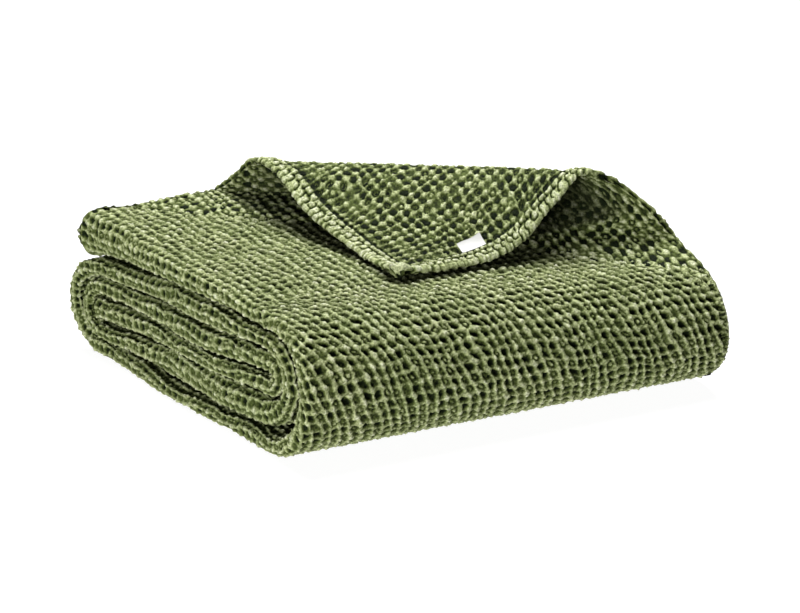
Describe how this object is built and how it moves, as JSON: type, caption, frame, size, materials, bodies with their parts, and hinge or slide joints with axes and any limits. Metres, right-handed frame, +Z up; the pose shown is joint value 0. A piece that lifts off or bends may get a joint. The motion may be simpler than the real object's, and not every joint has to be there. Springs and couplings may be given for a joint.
{
  "type": "folded waffle weave blanket",
  "caption": "Waffle weave cotton blanket, folded to a strip and rolled flat, with one corner of its top ply turned back.",
  "frame": {"origin": "middle of the underside, at the centre of the bounding box's bottom", "axes": "+Z up, +X along the front turn from the fold edges on the left to the hems on the right, +Y from the front turn to the back"},
  "size_m": [0.4954, 0.4584, 0.2016],
  "materials": {
    "waffle_cotton": "matte stonewashed cotton in a deep waffle weave, olive green, lighter on the worn ridges and dark in the cells",
    "label_satin": "bare off-white woven label with a slight sheen"
  },
  "bodies": {
    "root": {"blanket_cloth": "waffle_cotton", "label": "label_satin"}
  },
  "joints": []
}
